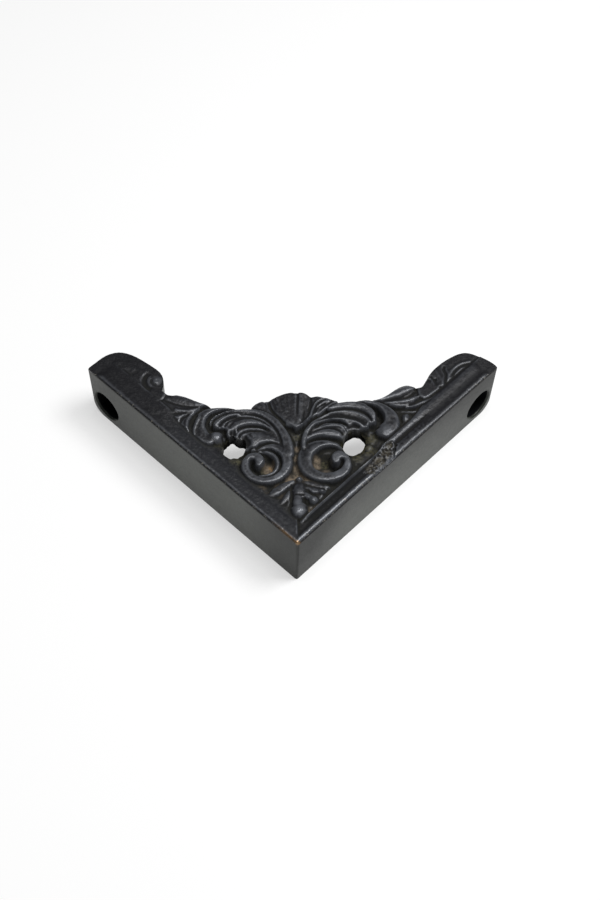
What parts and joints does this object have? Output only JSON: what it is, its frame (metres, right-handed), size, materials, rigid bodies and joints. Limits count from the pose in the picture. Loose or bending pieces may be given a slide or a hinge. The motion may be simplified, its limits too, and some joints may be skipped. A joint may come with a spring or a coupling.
{
  "type": "corner bracket",
  "caption": "Cast corner bracket: plain outer faces at a right angle, a pierced panel of scrolls, leaves and a shell, a hollow back, and a cross hole through each rounded end.",
  "frame": {"origin": "middle of the bounding box, at the level of the flat back", "axes": "+Z out of the carved face, +X from the left ear to the right ear, +Y from the corner towards the free scalloped edge"},
  "size_m": [0.1414, 0.0778, 0.023],
  "materials": {
    "patinated_brass": "black patina over cast brass, rubbed to a grey sheen on the ridges, bare metal at the corner, brown dirt in the hollows, smooth dull grey outer faces"
  },
  "bodies": {
    "root": {"corner_casting": "patinated_brass"}
  },
  "joints": []
}
